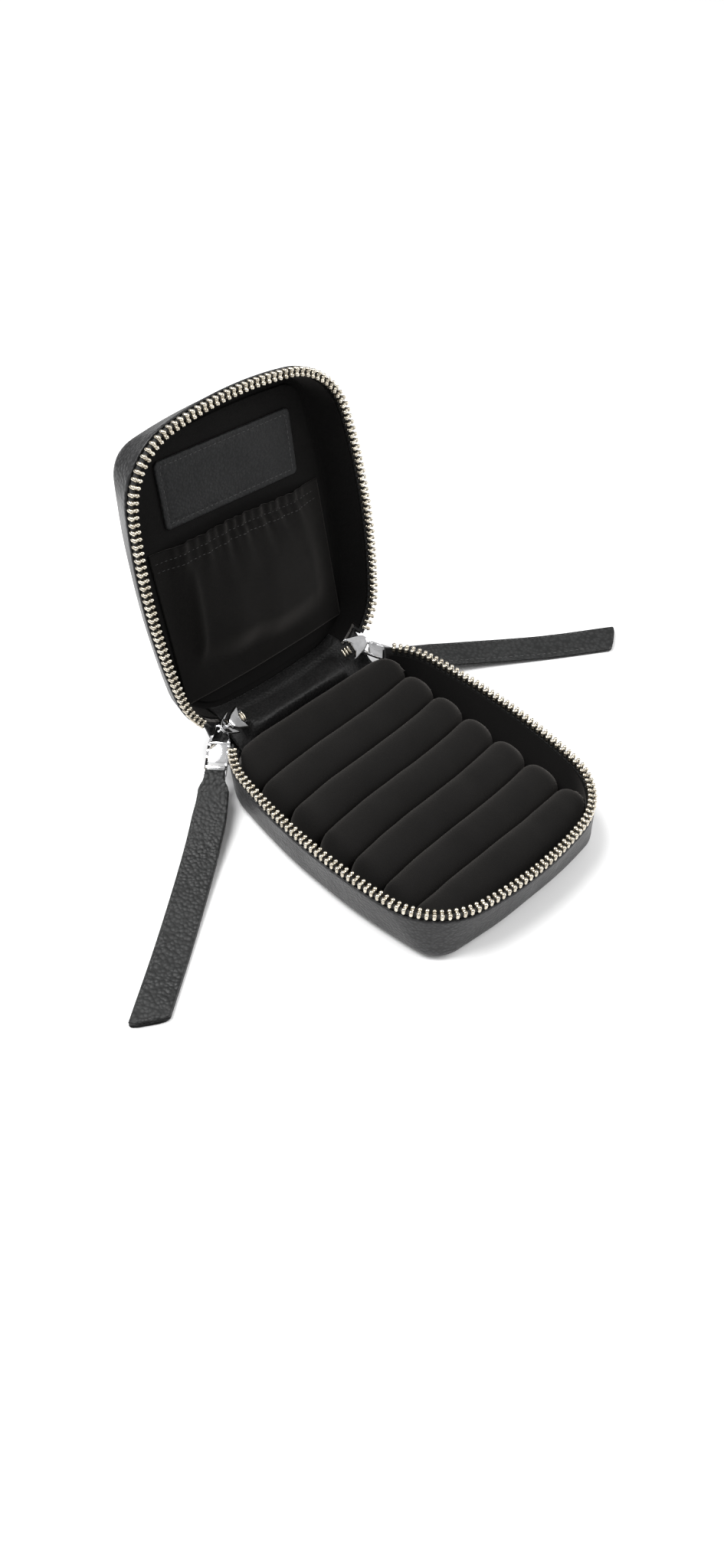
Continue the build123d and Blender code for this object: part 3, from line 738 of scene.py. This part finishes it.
def strap(side, foot, path, stitch_edges):
    """one leather strip folded round the pin, its two plies sewn together, cut on a slant"""
    knots = [foot] + path
    total = sum((Vector(b) - Vector(a)).length for a, b in zip(knots, knots[1:]))
    longer = -1 if side == "left" else 1

    def at(s):
        """centre, tangent, across and normal s millimetres from the pin"""
        a, b = on_curve(knots, max(0.0, s - 0.4) / total), on_curve(knots, min(total, s + 0.4) / total)
        t = (b - a).normalized()
        across = Vector((0, 0, 1)).cross(t).normalized()
        return on_curve(knots, s / total), t, across, t.cross(across).normalized()

    stations = []
    runs = [total * k / 60 for k in range(61)]
    for ply in (-1, 1):
        for s in (reversed(runs) if ply < 0 else runs):
            if s < 1.0:
                continue
            centre, t, across, normal = at(s)
            gap = 0.5 * PLY + 0.02 + 0.75 * math.exp(-(s / 3.2) ** 2)
            stations.append((centre + normal * ply * gap, t, across, normal * ply, s))
        if ply < 0:
            centre, t, across, normal = at(0.0)
            for k in range(1, 8):
                a = math.pi * k / 8
                out = -normal * math.cos(a) - t * math.sin(a)
                stations.append((centre + out * 1.25, t, across, out, 0.0))
    profile = [(-1, -0.30), (-1, 0.30), (-0.965, 0.43), (-0.90, 0.5), (-0.78, 0.46), (-0.5, 0.49),
               (0, 0.5), (0.5, 0.49), (0.78, 0.46), (0.90, 0.5), (0.965, 0.43), (1, 0.30), (1, -0.30),
               (0.96, -0.46), (0.5, -0.5), (-0.5, -0.5), (-0.96, -0.46)]
    points = []
    for centre, t, across, out, s in stations:
        half_w = strap_width(s)
        lean = longer * slant(s, total)
        tip = smooth(total - 1.6, total + 0.2, s)
        for a, b in profile:
            shift = t * (a * half_w * lean - abs(a) ** 6 * 1.1 * tip)
            wave = 0.12 * ripple(centre + across * a * half_w, 9.0, 4) * min(1.0, s / 10)
            points.append(centre + across * a * half_w + out * (b * PLY + max(0.0, wave) * 0.5) + shift)
    cols = len(profile)
    faces = capped(grid_faces(len(stations), cols, True), cols, len(points))
    body = "pull_strap_" + side
    obj = piece(body + "_leather", points, faces, STRAP_LEATHER, "outer_leather", body)
    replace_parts(obj, body)
    for edge in stitch_edges:
        line = []
        for k in range(121):
            s = 6.5 + (total - 8.5 - 6.5) * k / 120
            centre, t, across, normal = at(s)
            lean = longer * slant(s, total)
            inset = strap_width(s) * 0.8 * edge
            line.append((centre + across * inset + normal * PLY + t * inset * lean, normal))
        stitches("strap_stitches_%s_%s" % (side, EDGE_TAG[edge]), line, body, pitch=1.9, length=1.45,
                 radius=0.2)
    centre, t, across, normal = at(6.0)
    for edge in (-1, 1):
        line = [(centre + across * edge * reach + normal * (PLY + 0.05), normal)
                for reach in (2.2, 4.6)]
        stitches("strap_tack_%s_%s" % (side, EDGE_TAG[edge]), line, body, pitch=1.25, length=1.15,
                 radius=0.26)


# ---------------------------------------------------------------- sliders and links
SLIDER_X, CHANNEL, PLATE_T = 25.5, 3.2, 0.9
BAIL_MID, BAIL_SPAN, BAIL_RISE = 0.6, 5.0, 1.9
LINK_RAIL, LINK_THICK = 0.85, 0.8
# along the link from the bail: stations of its rails, its cross bars, and its solid face
LINK_STOPS = [-1.0, 0.4, 1.8, 3.2, 4.6, 6.0, 8.0, 10.0, 12.0]
LINK_BARS = [(-1.45, -0.65), (4.0, 4.7), (11.6, 12.5)]
FACE_HALF, FACE_FROM, FACE_TO = 2.9, 4.6, 10.6
PIN_HALF, PIN_RADIUS = 3.0, 0.7


def slider_place():
    """matrix of the right slider: on the zip line, facing outwards, turned half as far as the lid"""
    cx, cy, r = rim_arcs(RIM, 0)[3][:3]
    turn = math.asin((SLIDER_X - cx) / r)
    along = Vector((math.cos(turn), -math.sin(turn), 0))
    out = Vector((math.sin(turn), math.cos(turn), 0))
    axes = Matrix((along, out.cross(along), out)).transposed().to_4x4()
    seat = Matrix.Translation((SLIDER_X, cy + r * math.cos(turn), ZIP_Z)) @ axes
    tilt = Matrix.Rotation(-math.radians(OPEN_DEG / 2), 4, "X")
    return Matrix.Translation(HINGE) @ tilt @ Matrix.Translation(-HINGE) @ seat


def plate(outline, low, high, crown=0.18):
    """rounded, slightly crowned plate over a closed outline"""
    middle = sum((Vector(p) for p in outline), Vector((0, 0))) / len(outline)
    rings = [(low, 0.9), (low + 0.12, 1.0), (high - 0.3, 1.0), (high - 0.1, 0.95), (high, 0.84),
             (high + crown * 0.7, 0.5), (high + crown, 0.2)]
    points = [(*(middle + (Vector(p) - middle) * share), z) for z, share in rings for p in outline]
    cols = len(outline)
    return points, capped(grid_faces(len(rings), cols, True), cols, len(points))


def tube(path, radius, sides=10):
    """round bar along a path of points"""
    path = [Vector(p) for p in path]
    points = []
    for k, p in enumerate(path):
        ahead = (path[min(k + 1, len(path) - 1)] - path[max(k - 1, 0)]).normalized()
        side = ahead.orthogonal() if k == 0 else side - ahead * side.dot(ahead)
        side.normalize()
        up = ahead.cross(side)
        points += [p + (side * math.cos(a) + up * math.sin(a)) * radius
                   for a in (2 * math.pi * j / sides for j in range(sides))]
    return points, capped(grid_faces(len(path), sides, True), sides, len(points))


def block(low, high):
    """box between two corners"""
    (x0, y0, z0), (x1, y1, z1) = low, high
    points = [(x, y, z) for z in (z0, z1) for x, y in ((x0, y0), (x1, y0), (x1, y1), (x0, y1))]
    return points, [(0, 3, 2, 1), (4, 5, 6, 7), (0, 1, 5, 4), (1, 2, 6, 5), (2, 3, 7, 6), (3, 0, 4, 7)]


def joined(*parts):
    """several (points, faces) as one"""
    points, faces = [], []
    for more, more_faces in parts:
        first = len(points)
        points += list(more)
        faces += [tuple(first + i for i in f) for f in more_faces]
    return points, faces


def rounded_path(corners, steps=6):
    """closed outline through corners, its sides eased into curves"""
    count, line = len(corners), []
    for k in range(count):
        a, b = Vector(corners[k]), Vector(corners[(k + 1) % count])
        before, after = Vector(corners[k - 1]), Vector(corners[(k + 2) % count])
        leave, arrive = (b - before) * 0.32, (after - a) * 0.32
        line += [eased(a, b, leave, arrive, j / steps) for j in range(steps)]
    return [tuple(p) for p in line]


def mirrored(side):
    """the left side's pieces are the right side's, mirrored"""
    return Matrix.Diagonal((1 if side == "right" else -1, 1, 1, 1))


def slider(side):
    """two swept plates, the post between them and the arched bail; a short shut chain behind"""
    place = mirrored(side) @ slider_place()
    body = "slider_" + side
    half = [(3.5, 0.0), (2.9, 1.3), (1.0, 2.5), (-1.2, 3.2), (-2.9, 3.7), (-2.5, 2.9), (-1.9, 1.6)]
    outline = rounded_path(half + [(x, -y) for x, y in reversed(half[1:])])
    outer = plate(outline, CHANNEL / 2, CHANNEL / 2 + PLATE_T)
    inner = [(x, y, -z) for x, y, z in outer[0]], outer[1]
    top = CHANNEL / 2 + PLATE_T
    arch = [(BAIL_MID + BAIL_SPAN / 2 * math.copysign(abs(math.cos(a)) ** 0.6, math.cos(a)), 0,
             top - 0.1 + (BAIL_RISE + 0.1) * math.sin(a) ** 0.6)
            for a in (math.pi * k / 20 for k in range(21))]
    post = tube([(2.0, 0, -CHANNEL / 2), (2.0, 0, CHANNEL / 2)], 0.75)
    points, faces = joined(outer, inner, post, tube(arch, 0.42))
    obj = piece("slider_body_" + side, points, faces, SLIDER_METAL, "slider_metal", body, place)
    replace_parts(obj, "slider_" + side)
    points, faces = beads([((-3.1 - k, 0, face * 0.75), (0.42, 1.65, 0.6))
                           for k in range(3) for face in (1, -1)])
    chain = piece("zip_tail_teeth_" + side, points, faces, TEETH_METAL, "teeth", body, place)
    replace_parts(chain, "zip_tail_" + side)
    points, faces = block((-6.2, -2.0, -0.25), (-2.0, 2.0, 0.25))
    piece("zip_tail_tape_" + side, points, faces, TAPE_WEAVE, "tape", body, place)


def pull_link(side):
    """cast frame round the bail: open window, polished plate, slot and the strap's bar"""
    bail = slider_place() @ Vector((BAIL_MID, 0, CHANNEL / 2 + PLATE_T + BAIL_RISE))
    reach = Vector(LINK_FOOT) - bail
    across = Vector((reach.y, -reach.x, 0)).normalized()
    ahead = reach.normalized()
    axes = Matrix((across, ahead, across.cross(ahead))).transposed().to_4x4()
    place = mirrored(side) @ Matrix.Translation(bail) @ axes
    length, half_t = reach.length, LINK_THICK / 2

    def half_w(y):
        return 2.3 + 1.1 * smooth(-1.0, 6.0, y)

    stops = LINK_STOPS + [length]
    rails = []
    for turn in (-1, 1):
        for a, b in zip(stops, stops[1:]):
            points, faces = block((0, a, -half_t), (1, b, half_t))
            points = [(turn * (half_w(y) - LINK_RAIL * x), y, z) for x, y, z in points]
            rails.append((points, faces))
    bars = [block((-half_w(y0) + 0.2, y0, -half_t), (half_w(y0) - 0.2, y1, half_t))
            for y0, y1 in LINK_BARS]
    face = block((-FACE_HALF, FACE_FROM, -half_t * 0.7), (FACE_HALF, FACE_TO, half_t * 0.7))
    points, faces = joined(*rails, *bars, face)
    pin = tube([(-PIN_HALF, length, 0), (PIN_HALF, length, 0)], PIN_RADIUS)
    obj = piece("pull_link_frame_" + side, points, faces, SLIDER_METAL, "slider_metal", place=place)
    baked(obj, ("BEVEL", {"width": 0.14 * MM, "segments": 3, "limit_method": "ANGLE",
                          "angle_limit": math.radians(35)}))
    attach(obj, "pull_link_" + side)
    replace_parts(obj, "pull_link_" + side)
    piece("pull_link_pin_" + side, *pin, SLIDER_METAL, "slider_metal", "pull_link_" + side, place)


# ---------------------------------------------------------------- build
base_leather = leather_shell(BASE, "base_leather", "base", None, 1)
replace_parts(base_leather, "base_leather_wall", "base_leather_bottom")
lid_leather = leather_shell(LID, "lid_leather", "lid", TO_OPEN, 2)
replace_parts(lid_leather, "lid_leather_wall", "lid_leather_top")

for half, body, place, node, shift in ((BASE, "base", None, "base_zip_teeth", 0.0),
                                       (LID, "lid", TO_OPEN, "lid_zip_teeth", 0.5)):
    zip_chain(half.side, node, body, place, shift)
    for tag, inset in (("wall", SEAM_INSET - 1.9), ("panel", SEAM_INSET + 1.9)):
        lift = half.side * 0.12
        line = [((x, y, z + lift), (0, 0, -half.side)) for (x, y, z), _ in half.loop(half.depth, inset)]
        stitches("%s_%s_stitches" % (body, tag), line + line[:1], body, place=place)

spine_piece("spine_outer", 0.0, 0.9, LEATHER_FOLD, LEATHER, "outer_leather", ["spine_leather"],
            OUTER_HALF, 0.25)
spine_piece("spine_inner", 2.0, 0.6, LINING_FOLD, GUSSET_LEATHER, "lining", ["spine_lining"],
            INNER_HALF, 0.12, LID_STRIP_TOP)

seam_z, seam_half = LID_STRIP_TOP - 1.0, 24.0
seam_line = [((x, wall_back(LID, seam_z - ZIP_Z, 2.85, x), seam_z), (0, -1, 0))
             for x in (seam_half * (k / 30 - 1) for k in range(61))]
stitches("inner_strip_stitches", seam_line, "lid", pitch=2.0, length=1.5, radius=0.15, place=TO_OPEN)

for index in range(len(CREASE_LEFT) + 1):
    roll(index)
lid_pocket()
label()
foot_left = (-LINK_FOOT[0],) + LINK_FOOT[1:]
strap("left", foot_left, LEFT_PATH, (-1,))
strap("right", LINK_FOOT, RIGHT_PATH, (-1, 1))
for side in ("left", "right"):
    slider(side)
    pull_link(side)

NODE_FINISH = {"base_core_shell": BOARD, "lid_core_shell": BOARD, "base_lining": LINING_SUEDE,
               "lid_lining": LINING_SUEDE, "roll_tray": LINING_SUEDE, "lid_inner_panel": LINING_SUEDE,
               "base_zip_tape": TAPE_WEAVE, "lid_zip_tape": TAPE_WEAVE}
for node, finish in NODE_FINISH.items():
    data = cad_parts[node].data
    data.materials.clear()
    data.materials.append(finish)


# ---------------------------------------------------------------- camera, light and floor
# the camera's place and its axes, fixed; lights as place, size in metres and watts
CAMERA_AT = (-0.196386, -0.175320, 0.302632)
CAMERA_RIGHT, CAMERA_UP = (0.7223, -0.6911, 0.0240), (0.5022, 0.5480, 0.6689)
CAMERA_AHEAD = (0.4754, 0.4711, -0.7429)
SENSOR, LENS = 36.0, 30.93
LIGHTS = {"key": ((-0.25, 0.25, 0.75), 0.5, 8.0), "fill": ((0.55, -0.45, 0.55), 0.6, 4.5)}
LIGHTS_AIM = (0, 0, 0.03)


def area_light(name, spot, size, power):
    data = bpy.data.lights.new(name, "AREA")
    data.shape, data.size, data.energy = "DISK", size, power
    lamp = bpy.data.objects.new(name, data)
    lamp.location = spot
    lamp.rotation_euler = (Vector(LIGHTS_AIM) - Vector(spot)).to_track_quat("-Z", "Y").to_euler()
    bpy.context.scene.collection.objects.link(lamp)


def camera():
    """the main view, from the front left and above"""
    data = bpy.data.cameras.new("camera")
    data.sensor_width, data.lens, data.clip_start = SENSOR, LENS, 0.01
    cam = bpy.data.objects.new("camera", data)
    turn = Matrix((CAMERA_RIGHT, CAMERA_UP, tuple(-c for c in CAMERA_AHEAD))).transposed()
    cam.matrix_world = Matrix.Translation(CAMERA_AT) @ turn.to_4x4()
    bpy.context.scene.collection.objects.link(cam)
    bpy.context.scene.camera = cam


def floor():
    half = 3.0
    mesh = bpy.data.meshes.new("floor")
    corners = [(-half, -half, 0), (half, -half, 0), (half, half, 0), (-half, half, 0)]
    mesh.from_pydata(corners, [], [(0, 1, 2, 3)])
    mat, shader = material("pale_floor", Roughness=0.9, Specular_IOR_Level=0.1)
    shader.inputs["Base Color"].default_value = (0.93, 0.93, 0.93, 1)
    mesh.materials.append(mat)
    obj = bpy.data.objects.new("floor", mesh)
    bpy.context.scene.collection.objects.link(obj)


camera()
floor()
bpy.context.scene.view_settings.view_transform = "Standard"
# the room: white overhead, greyer towards the horizon, so that the metal has something to reflect
world = bpy.data.worlds.new("studio")
bpy.context.scene.world = world
world.use_nodes = True
sky = world.node_tree
sky.nodes["Background"].inputs["Color"].default_value = (1, 1, 1, 1)
direction = sky.nodes.new("ShaderNodeTexCoord").outputs["Generated"]
split = sky.nodes.new("ShaderNodeSeparateXYZ")
shade = sky.nodes.new("ShaderNodeMapRange")
for name, value in (("From Min", -0.05), ("From Max", 0.7), ("To Min", 0.3), ("To Max", 0.65)):
    shade.inputs[name].default_value = value
sky.links.new(direction, split.inputs[0])
sky.links.new(split.outputs["Z"], shade.inputs["Value"])
sky.links.new(shade.outputs[0], sky.nodes["Background"].inputs["Strength"])
for name, (spot, size, power) in LIGHTS.items():
    area_light(name, spot, size, power)
